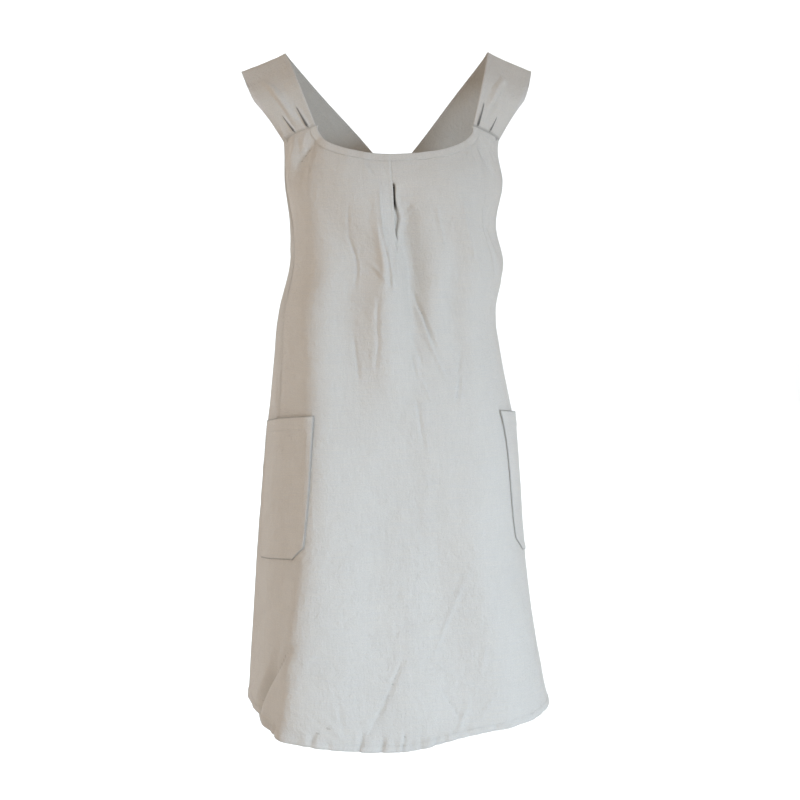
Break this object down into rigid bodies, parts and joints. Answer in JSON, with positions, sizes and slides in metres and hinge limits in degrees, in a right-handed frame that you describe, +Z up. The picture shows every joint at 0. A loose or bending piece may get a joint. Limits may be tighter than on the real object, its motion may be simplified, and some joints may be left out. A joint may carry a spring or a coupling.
{
  "type": "cross back apron",
  "caption": "Cross back apron of pale oatmeal linen in its worn form, with gathered straps, a stitched neckline, a centre pleat and patch pockets on the sides.",
  "frame": {"origin": "Midway between the shoulders, at the height of the straps' ridge: the shoulders mount.", "axes": "+Z up towards the straps, +X to the viewer's right when the apron is seen from in front, and the front of the apron faces -Y."},
  "size_m": [0.4251, 0.3162, 0.9433],
  "materials": {
    "linen": "washed plain weave, matt"
  },
  "bodies": {
    "root": {"body": "linen", "neck_band": "linen", "strap_left": "linen", "strap_right": "linen", "pocket_left": "linen", "pocket_right": "linen"}
  },
  "joints": []
}
